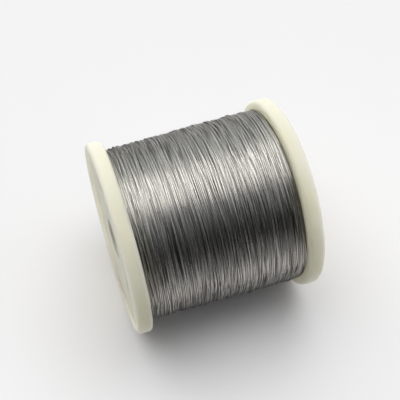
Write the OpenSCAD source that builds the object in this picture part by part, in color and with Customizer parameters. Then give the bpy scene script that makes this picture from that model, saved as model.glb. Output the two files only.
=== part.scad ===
// Fine nickel-copper alloy wire wound level on a moulded plastic spool.
// The spool lies on the rims of its two flanges, with its axis along X.
// The origin is on the floor, below the middle of the axis. +X points to the end without a label.

/* [Flanges] */
// Diameter of a flange
flange_d = 125; // [122:1:160]
// Thickness of a flange, from its inner face to the end of its rim
flange_t = 10; // [6:0.1:16]
// Rounding of the flange's outer corner
rim_round = 2.4; // [0.5:0.1:2.5]
// Rounding of the flange's corner toward the wire
inner_round = 2.2; // [0.3:0.1:2.5]
// Radial width of the raised rim round each end
rim_w = 3.5; // [3:0.1:8]
// Depth of each end's dished face below its rim
dish_depth = 2.2; // [1:0.1:4]
// Draft of the dish's wall, as the amount its mouth is wider in radius than its floor
dish_draft = 0.3; // [0.1:0.1:1]

/* [Barrel] */
// Length of the winding space between the flanges
traverse = 101; // [60:0.5:160]
// Diameter of the barrel that carries the wire
barrel_d = 80; // [60:1:100]
// Diameter of the through bore
bore_d = 24; // [12:0.5:40]
// Chamfer at each mouth of the bore
bore_chamfer = 0.8; // [0.3:0.1:2]

/* [Winding] */
// Diameter of the wire
wire_d = 0.6; // [0.5:0.05:3]
// Outer diameter of the winding at half its length
winding_d = 115.8; // [104:0.2:118]
// How much the winding's radius grows from the labelled end to the other one
winding_rise = 1.4; // [0:0.1:2]
// Height of the slow swells along the winding, above and below its mean radius
winding_swell = 0.3; // [0:0.05:0.6]
// Gap between the wire and the plastic
wire_gap = 0.05; // [0.02:0.01:0.2]

/* [Label] */
// Outer diameter of the paper label
label_d = 64; // [44:1:100]
// Diameter of the label's hole
label_hole_d = 27; // [14:0.5:43]
// Thickness of the label
label_t = 0.2; // [0.1:0.05:0.5]

/* [Hidden] */
$fn = 180;

flange_r = flange_d / 2;
barrel_r = barrel_d / 2;
spool_len = traverse + 2 * flange_t;
floor_x = spool_len / 2 - dish_depth;

// The winding's own box, seated on the barrel and between the flanges
coil_len = traverse - 2 * wire_gap;
coil_bore_r = barrel_r + wire_gap;

// How far a cut runs on past the face that it opens
overcut = 1;

// How far each turn's crest stands out of the groove beside it
turn_relief = 0.35 * wire_d;

// Share of a turn's width that each of its two slopes takes
slope_share = 0.25;

// Half the length between the outermost grooves, and the numbers of turns and of layers that fit
groove_end = coil_len / 2 - turn_relief;
turn_count = floor(2 * groove_end / wire_d);
layer_count = floor((winding_d / 2 - coil_bore_r) / wire_d);

// Long and short waves of the swells, in waves over the whole winding
long_waves = 1.6;
short_waves = 4.3;
short_share = 0.35;
first_phase = 40;

// Radius of the grooves between the outer turns, at x along the axis
function groove_r(x) =
    let (along = x / coil_len)
    winding_d / 2 - turn_relief + winding_rise * along
    + winding_swell * (1 - short_share) * sin(360 * long_waves * along + first_phase)
    + winding_swell * short_share * sin(360 * short_waves * along);

// Grooves between the layers on the end that faces side, -1 or 1, from the barrel outward
function end_grooves(side) =
    let (top = groove_r(side * groove_end))
    [for (k = [0 : layer_count]) [coil_bore_r + (top - coil_bore_r) * k / layer_count, side * groove_end]];

// Grooves between the outer turns, from the labelled end to the other
function side_grooves() =
    [for (i = [0 : turn_count]) let (x = groove_end * (2 * i / turn_count - 1)) [groove_r(x), x]];

// One turn's outline from groove a toward groove b, standing out to the right of that way
function turn_outline(a, b) =
    let (way = b - a, out = [way[1], -way[0]] * turn_relief / norm(way))
    [a, a + way * slope_share + out, b - way * slope_share + out];

function reversed(list) = [for (i = [len(list) - 1 : -1 : 0]) list[i]];

function without_first(list) = [for (i = [1 : len(list) - 1]) list[i]];

// Turns a profile, drawn as radius and place along the axis, into a solid round the spool's axis
module turned() {
    translate([0, 0, flange_r])
        rotate([0, 90, 0])
            rotate_extrude()
                children();
}

// What rounding takes off the corner at [r, x]; out is -1 or 1, the way the corner points along the axis
module corner_cut(r, x, radius, out) {
    difference() {
        translate([r - radius, out > 0 ? x - radius : x])
            square([2 * radius, radius]);
        translate([r - radius, x - out * radius])
            circle(r = radius);
    }
}

// Half profile of one flange, from the wire's side at x = 0 to the rim's end
module flange_profile() {
    difference() {
        square([flange_r, flange_t]);
        corner_cut(flange_r, flange_t, rim_round, 1);
        corner_cut(flange_r, 0, inner_round, -1);
        polygon([
            [0, flange_t - dish_depth],
            [flange_r - rim_w - dish_draft, flange_t - dish_depth],
            [flange_r - rim_w, flange_t],
            [flange_r - rim_w, flange_t + overcut],
            [0, flange_t + overcut]
        ]);
    }
}

// The bore's half profile, with a chamfer at each mouth
module bore_profile() {
    bore_r = bore_d / 2;
    mouth_r = bore_r + bore_chamfer + overcut;
    mouth_x = floor_x + overcut;
    polygon([
        [0, -mouth_x],
        [mouth_r, -mouth_x],
        [bore_r, -floor_x + bore_chamfer],
        [bore_r, floor_x - bore_chamfer],
        [mouth_r, mouth_x],
        [0, mouth_x]
    ]);
}

// The moulded spool: a flange at each end of the barrel, and the bore through it
module spool() {
    color([0.93, 0.91, 0.82])
        turned()
            difference() {
                union() {
                    translate([0, -traverse / 2])
                        square([barrel_r, traverse]);
                    for (side = [0, 1])
                        mirror([0, side])
                            translate([0, traverse / 2])
                                flange_profile();
                }
                bore_profile();
            }
}

// The wire: every turn of the outer layer shows on the outside, and every layer shows on the ends
module wire_winding() {
    grooves = concat(
        end_grooves(-1),
        without_first(side_grooves()),
        without_first(reversed(end_grooves(1)))
    );
    color([0.58, 0.57, 0.54])
        turned()
            polygon(concat(
                [for (i = [0 : len(grooves) - 2]) each turn_outline(grooves[i], grooves[i + 1])],
                [grooves[len(grooves) - 1]]
            ));
}

// The blank paper ring on the floor of the dish at the -X end
module end_label() {
    color([0.96, 0.96, 0.94])
        translate([-floor_x - label_t, 0, flange_r])
            rotate([0, 90, 0])
                difference() {
                    cylinder(d = label_d, h = label_t);
                    translate([0, 0, -overcut])
                        cylinder(d = label_hole_d, h = label_t + 2 * overcut);
                }
}

spool();
wire_winding();
end_label();
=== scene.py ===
"""Looks of a spool of fine nickel-copper alloy wire, lying on its side on a pale studio table.

The spool and its label are the CAD nodes with better materials. The winding is replaced by the wire
itself: it is laid turn by turn on the layers below, as a traverse lays it, and every turn that shows
is a round tube. Lengths are in metres, and in millimetres only where a name ends in _mm or where a
class says so.
"""

import math

import bpy
import numpy as np
from mathutils import Matrix, Vector


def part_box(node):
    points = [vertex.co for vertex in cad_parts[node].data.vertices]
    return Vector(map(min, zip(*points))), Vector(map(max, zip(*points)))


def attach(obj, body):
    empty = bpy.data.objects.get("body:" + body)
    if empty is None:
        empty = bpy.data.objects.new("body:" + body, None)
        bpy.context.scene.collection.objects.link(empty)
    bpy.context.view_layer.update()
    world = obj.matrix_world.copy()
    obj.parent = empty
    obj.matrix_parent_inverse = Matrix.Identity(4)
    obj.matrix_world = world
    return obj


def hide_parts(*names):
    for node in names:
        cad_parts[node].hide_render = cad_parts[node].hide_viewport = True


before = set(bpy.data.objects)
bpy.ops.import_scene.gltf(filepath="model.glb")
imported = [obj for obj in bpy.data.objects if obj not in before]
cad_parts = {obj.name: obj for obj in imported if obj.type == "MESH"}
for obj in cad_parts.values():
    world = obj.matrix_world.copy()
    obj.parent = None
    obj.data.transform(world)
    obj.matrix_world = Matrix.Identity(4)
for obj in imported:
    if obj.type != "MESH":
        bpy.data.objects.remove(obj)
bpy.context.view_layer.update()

MM = 0.001
SEED = 7

# The wire, and the map of heights that it is laid on
WIRE_D_MM = 0.6
CELL_MM = 0.1
STEPS = 144

# How it is laid: the traverse's pitch in wire diameters, its slow and its quick wander with their
# lengths in turns, how far a turn may stray from its guide, and the layers with their rise in diameters
PITCH = 1.05
SLOW_WANDER_MM = 0.1
SLOW_TURNS = 2.3
FAST_WANDER_MM = 0.5
FAST_TURNS = 0.1
WINDOW_MM = 1.2
LAYERS = 6
LAYER_RISE = 0.93
# How steeply the wander sets in from each flange: it is full after one part in this many of a layer
WANDER_ONSET = 25
# Percentile of the finished surface that stands where the CAD winding's crests are
CREST_SHARE = 99.9
# Places along the CAD winding at which its crests are measured
CREST_PLACES = 20

# What the path of a turn costs: standing high, leaving the guide, running askew and parting from the
# turn before it; and how many cells it may shift from one step to the next
LOW_COST = 1.0
NEAR_COST = 0.25
ASKEW_COST = 6.0
PARTING_COST = 50.0
REACH = 2
# The longest free span of a taut turn, in radians
FREE_SPAN = 2.5
# Steps each way over which a laid turn is smoothed: its place along the axis, and its radius
PLACE_SPREAD = 6
RADIUS_SPREAD = 3

# What is shown of it: the outer layers as tubes, and a plain core that lies a share of a layer deeper
# and has the wire's darkest tone, as painted shade
SHOWN_LAYERS = 3
WIRE_SIDES = 6
TRIANGLES_A_PIECE = 180000
CORE_SIDES = 96
CORE_SUNK = 0.5

# Tone of the wire, 0 dark to 1 pale: the top layer's mean, how much darker each layer below is (painted
# shade for the gaps between the turns), how much a turn differs from its neighbours, and the steps
# along the wire over which that changes
TOP_TONE = 0.62
UNDER_PAINTED_SHADE = 0.1
TURN_TONES = 0.14
TONE_STEPS = 6
# Weights of the noise on a turn, in the middle, and on the two turns at each side of it: what they
# share cancels out, so that fine stripes are left and no broad ones
STRIPE_WEIGHTS = (0.25, -1.0, 1.5, -1.0, 0.25)

# The camera: the photograph's angle, fitted to the flanges' edges. It stands at this distance from
# the middle of the spool's axis, and off that line by the raise and the side.
CAMERA_AZIMUTH = -18.36
CAMERA_ELEVATION = 56.72
CAMERA_DISTANCE = 0.547
CAMERA_RAISE = 0.0093
CAMERA_SIDE = -0.0003
FOCAL_PX = 843.0
FRAME_PX = 400
SENSOR_MM = 36.0


def spool_axis_height():
    """Height of the spool's axis above the floor."""
    low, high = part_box("spool")
    return (low.z + high.z) / 2


AXIS_Z = spool_axis_height()


def add_camera():
    """The photograph's camera."""
    az, el = math.radians(CAMERA_AZIMUTH), math.radians(CAMERA_ELEVATION)
    back = Vector((math.sin(az) * math.cos(el), -math.cos(az) * math.cos(el), math.sin(el)))
    right = Vector((math.cos(az), math.sin(az), 0))
    up = back.cross(right)
    data = bpy.data.cameras.new("photo_camera")
    data.sensor_width = SENSOR_MM
    data.lens = FOCAL_PX / FRAME_PX * SENSOR_MM
    camera = bpy.data.objects.new("photo_camera", data)
    turn = Matrix((right, up, back)).transposed().to_4x4()
    place = Vector((0, 0, AXIS_Z)) + back * CAMERA_DISTANCE + right * CAMERA_SIDE + up * CAMERA_RAISE
    camera.matrix_world = Matrix.Translation(place) @ turn
    bpy.context.scene.collection.objects.link(camera)
    bpy.context.scene.camera = camera


class Nodes:
    """Short calls for building a node tree."""

    def __init__(self, tree):
        self.tree = tree
        tree.nodes.clear()

    def add(self, kind, **settings):
        node = self.tree.nodes.new(kind)
        for name, value in settings.items():
            setattr(node, name, value)
        return node

    def link(self, output, socket):
        self.tree.links.new(output, socket)

    def fed(self, node, values):
        """A node's output, once each of its inputs has its number or another node's output."""
        for socket, value in zip(node.inputs, values):
            if isinstance(value, (int, float)):
                socket.default_value = value
            else:
                self.link(value, socket)
        return node.outputs[0]

    def math(self, operation, *values, clamp=False):
        return self.fed(self.add("ShaderNodeMath", operation=operation, use_clamp=clamp), values)

    def mix(self, factor, a, b, blend_type="MIX"):
        return self.fed(self.add("ShaderNodeMixRGB", blend_type=blend_type), (factor, a, b))

    def place(self):
        """Where a point is on its object."""
        return self.add("ShaderNodeTexCoord").outputs["Object"]

    def ramp(self, factor, stops):
        """A colour that follows factor through stops of (place, colour)."""
        node = self.add("ShaderNodeValToRGB")
        elements = node.color_ramp.elements
        while len(elements) < len(stops):
            elements.new(0.5)
        for element, (at, value) in zip(elements, stops):
            element.position = at
            element.color = (*value, 1)
        self.link(factor, node.inputs[0])
        return node.outputs[0]

    def noise(self, scale, detail):
        """A cloudy pattern that is fixed to the object."""
        node = self.add("ShaderNodeTexNoise")
        node.inputs["Scale"].default_value = scale
        node.inputs["Detail"].default_value = detail
        self.link(self.place(), node.inputs["Vector"])
        return node.outputs["Fac"]

    def bump(self, height, strength, distance):
        node = self.add("ShaderNodeBump")
        node.inputs["Strength"].default_value = strength
        node.inputs["Distance"].default_value = distance
        self.link(height, node.inputs["Height"])
        return node.outputs[0]


def new_material(name):
    """A material, the calls for its nodes, and its shader, which is linked to the output."""
    material = bpy.data.materials.new(name)
    material.use_nodes = True
    n = Nodes(material.node_tree)
    shader = n.add("ShaderNodeBsdfPrincipled")
    n.link(shader.outputs[0], n.add("ShaderNodeOutputMaterial").inputs["Surface"])
    return material, n, shader


def grey(value):
    return (value, value, value)


# How bright the studio is, by the angle about the spool's axis: 0 is straight in front, 90 is up and
# 180 is straight behind. Each stop is (degrees, brightness). The middle zone is what lies square to
# the axis, and the other two are toward the spool's ends.
STUDIO_MIDDLE = [
    (0, 0.02), (25, 0.03), (45, 0.08), (60, 0.23), (72, 0.6), (83, 2.3), (91, 2.9),
    (119, 2.95), (133, 1.45), (155, 0.95), (180, 0.6)
]
STUDIO_RIGHT = [(0, 0.02), (20, 0.03), (60, 0.95), (90, 0.8), (120, 0.1), (180, 0.03)]
STUDIO_LEFT = [(0, 0.03), (60, 0.06), (90, 0.25), (120, 0.25), (180, 0.2)]
# Its tint by the same angle: cool in the dark front, neutral overhead and faintly cool behind
STUDIO_TINT = [
    (0, (0.95, 1.0, 1.08)), (66, (0.96, 1.0, 1.07)), (80, (1.0, 1.0, 1.0)),
    (118, (1.0, 1.0, 1.0)), (136, (0.98, 1.01, 1.02)), (180, (0.97, 1.01, 1.03))
]
# Where the middle zone ends and where the end zones are full, as the sine of the angle off square
MIDDLE_HALF = 0.45
ENDS_FROM = 0.7


def add_world():
    """The studio's walls and ceiling: dark in front of the table and a broad band of light overhead."""
    world = bpy.data.worlds.new("studio")
    bpy.context.scene.world = world
    world.use_nodes = True
    n = Nodes(world.node_tree)
    split = n.add("ShaderNodeSeparateXYZ")
    n.link(n.add("ShaderNodeTexCoord").outputs["Generated"], split.inputs[0])
    along, forward_y, upward = split.outputs
    angle = n.math("ARCTAN2", n.math("ABSOLUTE", upward), n.math("MULTIPLY", forward_y, -1))
    share = n.math("DIVIDE", angle, math.pi, clamp=True)
    off_square = n.math("SUBTRACT", n.math("ABSOLUTE", along), MIDDLE_HALF)
    toward_end = n.math("DIVIDE", off_square, ENDS_FROM - MIDDLE_HALF, clamp=True)
    middle, left, right = (
        n.ramp(share, [(degrees / 180, grey(level)) for degrees, level in stops])
        for stops in (STUDIO_MIDDLE, STUDIO_LEFT, STUDIO_RIGHT)
    )
    ends = n.mix(n.math("GREATER_THAN", along, 0.0), left, right)
    level = n.mix(toward_end, middle, ends)
    tint = n.ramp(share, [(degrees / 180, colour) for degrees, colour in STUDIO_TINT])
    studio = n.add("ShaderNodeBackground")
    n.link(n.mix(1, level, tint, "MULTIPLY"), studio.inputs["Color"])
    n.link(studio.outputs[0], n.add("ShaderNodeOutputWorld").inputs["Surface"])


FLOOR_SIZE = 40.0
FLOOR_COLOUR = (0.82, 0.812, 0.814)
FLOOR_ROUGHNESS = 0.8
FLOOR_SPECULAR = 0.2
# Below the frame the paper grades to grey, for the wire to mirror: it starts GREY_FROM metres from
# the spool's middle toward the camera, and takes GREY_OVER metres
FLOOR_GREY = (0.13, 0.13, 0.13)
GREY_FROM = 0.118
GREY_OVER = 0.2


def add_floor():
    """A table under pale paper."""
    half = FLOOR_SIZE / 2
    mesh = bpy.data.meshes.new("floor")
    corners = [(-half, -half, 0), (half, -half, 0), (half, half, 0), (-half, half, 0)]
    mesh.from_pydata(corners, [], [(0, 1, 2, 3)])
    floor = bpy.data.objects.new("floor", mesh)
    bpy.context.scene.collection.objects.link(floor)
    material, n, shader = new_material("table_paper")
    azimuth = math.radians(CAMERA_AZIMUTH)
    toward = n.add("ShaderNodeVectorMath", operation="DOT_PRODUCT")
    n.link(n.place(), toward.inputs[0])
    toward.inputs[1].default_value = (math.sin(azimuth), -math.cos(azimuth), 0)
    past = n.math("SUBTRACT", toward.outputs["Value"], GREY_FROM)
    share = n.math("DIVIDE", past, GREY_OVER, clamp=True)
    n.link(n.ramp(share, [(0, FLOOR_COLOUR), (1, FLOOR_GREY)]), shader.inputs["Base Color"])
    shader.inputs["Roughness"].default_value = FLOOR_ROUGHNESS
    shader.inputs["Specular IOR Level"].default_value = FLOOR_SPECULAR
    mesh.materials.append(material)


# The values of a cloudy pattern that count as its two ends
CLOUD_LOW = 0.3
CLOUD_HIGH = 0.7

PLASTIC_DEEP = (0.84, 0.775, 0.555)
PLASTIC_PALE = (0.875, 0.812, 0.62)
PLASTIC_ROUGHNESS = (0.46, 0.56)
PLASTIC_SPECULAR = 0.03
# How far light spreads inside the plastic, the same for each colour
PLASTIC_RADIUS = (1.0, 1.0, 1.0)
PLASTIC_SCALE = 0.02


def clouded(n, cloud, low, high):
    """A colour that runs from low to high with a cloudy pattern."""
    return n.ramp(cloud, [(CLOUD_LOW, low), (CLOUD_HIGH, high)])


def plastic_material():
    """Cream moulded plastic: satin, a little translucent and faintly mottled, with a fine grain."""
    material, n, shader = new_material("cream_plastic")
    cloud = n.noise(scale=35, detail=3)
    rough_low, rough_high = PLASTIC_ROUGHNESS
    grain = n.bump(n.noise(scale=1400, detail=4), strength=0.12, distance=0.00015)
    n.link(clouded(n, cloud, PLASTIC_DEEP, PLASTIC_PALE), shader.inputs["Base Color"])
    n.link(clouded(n, cloud, grey(rough_low), grey(rough_high)), shader.inputs["Roughness"])
    n.link(grain, shader.inputs["Normal"])
    shader.inputs["Specular IOR Level"].default_value = PLASTIC_SPECULAR
    shader.inputs["Subsurface Weight"].default_value = 1
    shader.inputs["Subsurface Radius"].default_value = PLASTIC_RADIUS
    shader.inputs["Subsurface Scale"].default_value = PLASTIC_SCALE
    return material


PAPER_DEEP = (0.83, 0.815, 0.68)
PAPER_PALE = (0.89, 0.875, 0.75)
PAPER_ROUGHNESS = 0.7
PAPER_SPECULAR = 0.03


def paper_material():
    """Blank off-white paper with a faint fibre."""
    material, n, shader = new_material("label_paper")
    fibre = n.noise(scale=900, detail=5)
    n.link(clouded(n, fibre, PAPER_DEEP, PAPER_PALE), shader.inputs["Base Color"])
    n.link(n.bump(fibre, strength=0.2, distance=0.00005), shader.inputs["Normal"])
    shader.inputs["Roughness"].default_value = PAPER_ROUGHNESS
    shader.inputs["Specular IOR Level"].default_value = PAPER_SPECULAR
    return material


WIRE_DARK = (0.16, 0.155, 0.146)
WIRE_PALE = (0.78, 0.758, 0.706)
# Colour of the wire where it is seen at a flat angle
WIRE_GRAZING = (0.5, 0.5, 0.5)
# Roughness of the darkest and of the palest wire
WIRE_ROUGHNESS = (0.30, 0.22)


def wire_material():
    """Drawn alloy wire: warm grey metal whose tone differs from turn to turn and along each turn, and
    is darker on the deeper layers and the core as painted shade.
    """
    material, n, shader = new_material("alloy_wire")
    tone = n.add("ShaderNodeAttribute", attribute_name="tone").outputs["Fac"]
    rough_dark, rough_pale = WIRE_ROUGHNESS
    drawn = n.bump(n.noise(scale=2500, detail=2), strength=0.1, distance=0.00002)
    n.link(n.ramp(tone, [(0, WIRE_DARK), (1, WIRE_PALE)]), shader.inputs["Base Color"])
    n.link(n.ramp(tone, [(0, grey(rough_dark)), (1, grey(rough_pale))]), shader.inputs["Roughness"])
    n.link(drawn, shader.inputs["Normal"])
    shader.inputs["Metallic"].default_value = 1
    shader.inputs["Specular Tint"].default_value = (*WIRE_GRAZING, 1)
    return material


def smooth_noise(rng, count, spacing):
    """Smooth random values, one a sample: a Catmull-Rom curve through a knot every spacing samples."""
    knots = rng.standard_normal(int(count / spacing) + 4)
    place = np.arange(count) / spacing
    i = place.astype(int)
    t = place - i
    a, b, c, d = knots[i], knots[i + 1], knots[i + 2], knots[i + 3]
    return b + 0.5 * t * (c - a + t * (2 * a - 5 * b + 4 * c - d + t * (3 * (b - c) + d - a)))


def eased(values, start, spread):
    """Values smoothed over spread samples each way, and led in from where the last turn ended."""
    weights = np.hanning(2 * spread + 3)[1:-1]
    lead_in = np.full(len(weights) // 2, values[0] if start is None else start)
    lead_out = np.full(len(weights) // 2, values[-1])
    return np.convolve(np.concatenate([lead_in, values, lead_out]), weights / weights.sum(), "valid")


class CadWinding:
    """The CAD winding's measures, all in millimetres: its length, its bore and its crests' radii."""

    def __init__(self):
        low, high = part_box("wire_winding")
        points = np.array([vertex.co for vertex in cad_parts["wire_winding"].data.vertices])
        radius = np.hypot(points[:, 1], points[:, 2] - AXIS_Z) / MM
        place = (points[:, 0] - low.x) / MM
        self.start = low.x / MM
        self.length = (high.x - low.x) / MM
        self.bore_r = radius.min()
        half = self.length / CREST_PLACES / 2
        self.places = np.linspace(half, self.length - half, CREST_PLACES)
        self.crests = np.array([radius[abs(place - x) < half + WIRE_D_MM].max() for x in self.places])

    def crest_r(self, x):
        """Radius of the crests at x along the winding."""
        return np.interp(x, self.places, self.crests)


class Winder:
    """Lays the wire on the spool, turn by turn, over a height map of what lies there already.

    The map has a row for each step round the axis and a column for each cell along it. All is in
    millimetres; places along the axis are measured from the labelled end's flange.
    """

    def __init__(self, cad):
        self.cad = cad
        self.cells = int(round(cad.length / CELL_MM)) + 1
        self.rng = np.random.default_rng(SEED)
        crests = cad.crest_r(np.arange(self.cells) * CELL_MM)
        self.crest_mean = crests.mean()
        self.height = np.tile(crests - LAYERS * LAYER_RISE * WIRE_D_MM, (STEPS, 1))
        self.owner = np.full((STEPS, self.cells), -1)
        self.half = int(WIRE_D_MM / 2 / CELL_MM)
        across = np.arange(-self.half, self.half + 1) * CELL_MM
        self.bead = np.sqrt(np.maximum((WIRE_D_MM / 2) ** 2 - across ** 2, 0))
        self.xs, self.rs, self.layers = [], [], []

    def guide(self, layer, turns):
        """Where the traverse leads the wire over one layer; it turns back at each flange."""
        count = turns * STEPS
        room = self.cad.length - WIRE_D_MM
        along = np.arange(count) / count
        wander = SLOW_WANDER_MM * smooth_noise(self.rng, count, STEPS * SLOW_TURNS)
        wander += FAST_WANDER_MM * smooth_noise(self.rng, count, STEPS * FAST_TURNS)
        wander *= np.minimum(1, WANDER_ONSET * np.minimum(along, 1 - along))
        x = WIRE_D_MM / 2 + np.clip(along * room + wander, 0, room)
        return x if layer % 2 == 0 else self.cad.length - x

    def seats(self, columns):
        """Lowest radius at which the wire's middle can lie over each of the columns."""
        best = None
        for k, rise in enumerate(self.bead):
            near = np.clip(columns + k - self.half, 0, self.cells - 1)
            level = np.take_along_axis(self.height, near, axis=1) + rise
            best = level if best is None else np.maximum(best, level)
        return best

    def path(self, guide, lead, start):
        """The turn's place along the axis at each step: it runs low, near its guide and straight.

        It is the cheapest way through a window of cells beside the guide, found step by step.
        """
        width = int(2 * WINDOW_MM / CELL_MM) + 1
        first = np.round((guide - WINDOW_MM) / CELL_MM).astype(int)
        first = np.clip(first, self.half, self.cells - 1 - self.half - width)
        columns = first[:, None] + np.arange(width)[None, :]
        seat = self.seats(columns)
        cost = LOW_COST * (seat - seat.min(axis=1, keepdims=True))
        cost += NEAR_COST * (columns * CELL_MM - guide[:, None]) ** 2
        total = cost[0].copy()
        if start is not None:
            total += PARTING_COST * (columns[0] * CELL_MM - start) ** 2
        came = np.zeros((STEPS, width), int)
        jumps = np.diff(first)
        steps = np.arange(-REACH, REACH + 1)
        askew = ASKEW_COST * (steps * CELL_MM - lead) ** 2
        everyone = np.arange(width)
        for row in range(1, STEPS):
            source = everyone[None, :] + jumps[row - 1] + steps[:, None]
            inside = (source >= 0) & (source < width)
            options = np.where(inside, total[np.clip(source, 0, width - 1)] + askew[:, None], np.inf)
            came[row] = options.argmin(axis=0)
            total = options[came[row], everyone] + cost[row]
        at = np.zeros(STEPS, int)
        at[-1] = total.argmin()
        for row in range(STEPS - 1, 0, -1):
            at[row - 1] = at[row] + jumps[row - 1] + steps[came[row, at[row]]]
        return (first + at) * CELL_MM

    def pulled_taut(self, seat_r):
        """The tight string over a turn's seats: between supports the wire runs straight.

        On a straight line 1 / radius is a sum of the angle's sine and cosine, which these sums use.
        """
        angle = 2 * math.pi * np.arange(STEPS) / STEPS
        u = 1 / seat_r
        keep = []
        for i in range(STEPS):
            while len(keep) >= 2 and angle[i] - angle[keep[-2]] < FREE_SPAN:
                j, k = keep[-2], keep[-1]
                chord = u[j] * math.sin(angle[i] - angle[k]) + u[i] * math.sin(angle[k] - angle[j])
                if u[k] * math.sin(angle[i] - angle[j]) < chord:
                    break
                keep.pop()
            keep.append(i)
        r = seat_r.copy()
        for j, k in zip(keep[:-1], keep[1:]):
            t = np.arange(j + 1, k)
            between = u[j] * np.sin(angle[k] - angle[t]) + u[k] * np.sin(angle[t] - angle[j])
            r[t] = math.sin(angle[k] - angle[j]) / between
        return r

    def lay_turn(self, guide, lead, layer):
        """Lays one turn along its guide and raises the map under it."""
        start = self.xs[-1][-1] if self.xs else None
        x = eased(self.path(guide, lead, start), start, PLACE_SPREAD)
        columns = np.clip(np.round(x / CELL_MM).astype(int), self.half, self.cells - 1 - self.half)
        r = self.pulled_taut(self.seats(columns[:, None])[:, 0])
        r = eased(r, self.rs[-1][-1] if self.rs else None, RADIUS_SPREAD)
        rows = np.arange(STEPS)
        for offset, rise in zip(range(-self.half, self.half + 1), self.bead):
            column = columns + offset
            level = r + rise
            higher = level > self.height[rows, column]
            self.height[rows[higher], column[higher]] = level[higher]
            self.owner[rows[higher], column[higher]] = len(self.xs)
        self.xs.append(x)
        self.rs.append(r)
        self.layers.append(layer)

    def wind(self):
        """Lays all the layers, and finds the lift that brings their crests to the CAD winding's."""
        turns = int(self.cad.length / (WIRE_D_MM * PITCH))
        for layer in range(LAYERS):
            lead = (1 if layer % 2 == 0 else -1) * self.cad.length / turns / STEPS
            for guide in self.guide(layer, turns).reshape(turns, STEPS):
                self.lay_turn(guide, lead, layer)
        self.lift = self.crest_mean - np.percentile(self.height, CREST_SHARE)

    def shown_turns(self):
        """Numbers of the turns that can be seen from outside."""
        lowest = LAYERS - SHOWN_LAYERS
        return [i for i in np.unique(self.owner) if i > 0 and self.layers[i] >= lowest]

    def centre_line(self, i):
        """Places along the axis and radii of turn i, from the last step of the turn before it."""
        x = np.concatenate([self.xs[i - 1][-1:], self.xs[i]])
        r = np.concatenate([self.rs[i - 1][-1:], self.rs[i]]) + self.lift
        return x, r


def turn_tones(winder):
    """For each turn, its tone at each point of its centre line: a tone that differs at random, made
    darker on each layer below the top as painted shade.
    """
    rng = np.random.default_rng(SEED + 1)
    turns = len(winder.xs)
    count = turns + len(STRIPE_WEIGHTS) - 1
    wire = smooth_noise(rng, count * STEPS + 1, TONE_STEPS)
    raw = np.array([wire[i * STEPS:(i + 1) * STEPS + 1] for i in range(count)])
    own = sum(weight * raw[k:k + turns] for k, weight in enumerate(STRIPE_WEIGHTS))
    depth = LAYERS - 1 - np.array(winder.layers)
    # Layers below the top are made darker by their depth: painted shade for the gaps between the turns.
    return np.clip((TOP_TONE - UNDER_PAINTED_SHADE * depth)[:, None] + TURN_TONES * own, 0, 1)


def add_mesh(name, points, faces, tone, material):
    """A smooth mesh of four-sided faces, with a tone at each point, that stands for the winding."""
    mesh = bpy.data.meshes.new(name)
    mesh.vertices.add(len(points))
    mesh.vertices.foreach_set("co", np.asarray(points, np.float32).ravel())
    mesh.loops.add(faces.size)
    mesh.loops.foreach_set("vertex_index", faces.astype(np.int32).ravel())
    mesh.polygons.add(len(faces))
    mesh.polygons.foreach_set("loop_start", np.arange(0, faces.size, 4, dtype=np.int32))
    mesh.polygons.foreach_set("use_smooth", np.ones(len(faces), bool))
    mesh.attributes.new("tone", "FLOAT", "POINT").data.foreach_set("value", tone.astype(np.float32))
    mesh.update(calc_edges=True)
    mesh.validate()
    mesh.materials.append(material)
    piece = bpy.data.objects.new(name, mesh)
    bpy.context.scene.collection.objects.link(piece)
    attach(piece, "root")
    return piece


def placed(x, r, angle):
    """Points in metres at x along the winding, in millimetres, and radius r about the spool's axis."""
    return np.stack([x, -r * np.cos(angle), r * np.sin(angle)], -1) * MM + np.array([0, 0, AXIS_Z])


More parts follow.
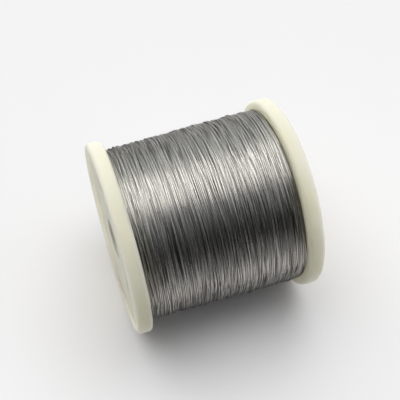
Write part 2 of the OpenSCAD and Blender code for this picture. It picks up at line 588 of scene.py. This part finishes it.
def add_turns(name, winder, turns, tones, material):
    """Round tubes for some of the turns, as one mesh."""
    points_a_turn = (STEPS + 1) * WIRE_SIDES
    around = 2 * math.pi * np.arange(WIRE_SIDES) / WIRE_SIDES
    angle = 2 * math.pi * np.arange(-1, STEPS) / STEPS
    i = np.arange(STEPS)[:, None] * WIRE_SIDES
    k = np.arange(WIRE_SIDES)[None, :]
    k2 = (k + 1) % WIRE_SIDES
    tube = np.stack([i + k, i + k2, i + WIRE_SIDES + k2, i + WIRE_SIDES + k], 2).reshape(-1, 4)
    points = []
    for turn in turns:
        x, r = winder.centre_line(turn)
        x = winder.cad.start + x[:, None] + WIRE_D_MM / 2 * np.sin(around)[None, :]
        r = r[:, None] + WIRE_D_MM / 2 * np.cos(around)[None, :]
        points.append(placed(x, r, angle[:, None]).reshape(-1, 3))
    faces = np.concatenate([tube + j * points_a_turn for j in range(len(turns))])
    tone = np.repeat(tones[turns].ravel(), WIRE_SIDES)
    add_mesh(name, np.concatenate(points), faces, tone, material)


def add_core(cad, material):
    """The deeper layers as a plain core with the wire's darkest tone: painted shade, which shows only
    between the turns.
    """
    depth = (SHOWN_LAYERS + CORE_SUNK) * LAYER_RISE * WIRE_D_MM
    ends = (0, cad.length)
    outer = [(x, cad.crest_r(x) - depth) for x in ends]
    outline = [(ends[0], cad.bore_r), *outer, (ends[1], cad.bore_r)]
    ring = 2 * math.pi * np.arange(CORE_SIDES) / CORE_SIDES
    points = np.concatenate([placed(np.full(CORE_SIDES, cad.start + x), r, ring) for x, r in outline])
    k = np.arange(CORE_SIDES)
    k2 = (k + 1) % CORE_SIDES
    bands = [(j * CORE_SIDES, (j + 1) % len(outline) * CORE_SIDES) for j in range(len(outline))]
    faces = np.concatenate([np.stack([a + k, a + k2, b + k2, b + k], 1) for a, b in bands])
    # Tone 0 everywhere, the darkest wire: painted shade for the deep gaps between the turns.
    core = add_mesh("wire_core", points, faces, np.zeros(len(points)), material)
    core.data.polygons.foreach_set("use_smooth", np.zeros(len(faces), bool))
    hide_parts("wire_winding")


def add_winding():
    """The wire in place of the CAD winding, in pieces of a limited size."""
    cad = CadWinding()
    winder = Winder(cad)
    winder.wind()
    tones = turn_tones(winder)
    material = wire_material()
    shown = winder.shown_turns()
    turns_a_piece = TRIANGLES_A_PIECE // (2 * WIRE_SIDES * STEPS)
    for number, first in enumerate(range(0, len(shown), turns_a_piece), 1):
        turns = shown[first:first + turns_a_piece]
        add_turns("wire_turns_%d" % number, winder, turns, tones, material)
    add_core(cad, material)


def dress(node, material):
    """Gives a CAD node a better material."""
    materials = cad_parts[node].data.materials
    materials.clear()
    materials.append(material)


add_camera()
bpy.context.scene.view_settings.view_transform = "Standard"
add_world()
add_floor()
dress("spool", plastic_material())
dress("end_label", paper_material())
add_winding()
